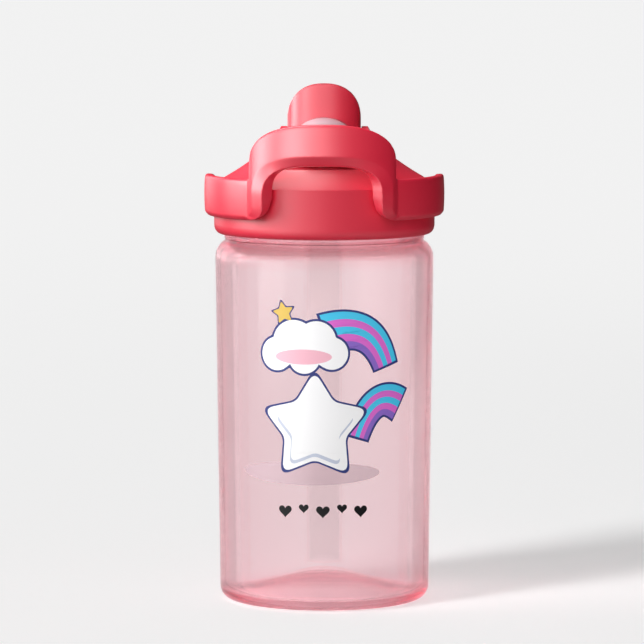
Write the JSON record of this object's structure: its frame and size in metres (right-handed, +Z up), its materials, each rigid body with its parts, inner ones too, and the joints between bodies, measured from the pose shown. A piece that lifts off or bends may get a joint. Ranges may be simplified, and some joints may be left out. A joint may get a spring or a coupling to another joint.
{
  "type": "kids water bottle",
  "caption": "Clear tapered drinking bottle for children with a screw-on lid, a flip-up straw spout with a soft mouthpiece and a bowed finger handle.",
  "frame": {"origin": "centre of the resting ring, on the bottle's axis, at the base plane", "axes": "+Z up along the bottle's axis, -Y towards the finger handle and the printed front, +X to the right as seen from the front"},
  "size_m": [0.0812, 0.0812, 0.1748],
  "materials": {
    "clear_pink": "clear pink-tinted moulded plastic, polished",
    "coral": "coral red moulded plastic, satin gloss",
    "silicone": "translucent milky silicone",
    "clear_straw": "clear smooth tube"
  },
  "bodies": {
    "bottle": {"bottle": "clear_pink"},
    "gasket": {"lid_gasket": "silicone"},
    "lid": {"cap_shell": "coral", "carry_handle": "coral", "straw": "clear_straw", "spout_seal": "silicone", "vent_valve": "silicone"},
    "spout": {"flip_spout": "coral", "bite_valve": "silicone"}
  },
  "joints": [
    {"name": "lid_lift", "type": "slide", "parent": "bottle", "child": "gasket", "axis": [0, 0, 1], "range_m": [0, 0.0068]},
    {"name": "lid_unscrew", "type": "hinge", "parent": "gasket", "child": "lid", "pos_m": [0, 0, 0.1382], "axis": [0, 0, 1], "range_deg": [0, 540]},
    {"name": "spout_flip", "type": "hinge", "parent": "lid", "child": "spout", "pos_m": [0, 0, 0.1536], "axis": [-1, 0, 0], "range_deg": [0, 90]}
  ],
  "couplings": [
    {"joint": "lid_lift", "follows": "lid_unscrew", "m_per_rad": 0.0007162}
  ]
}
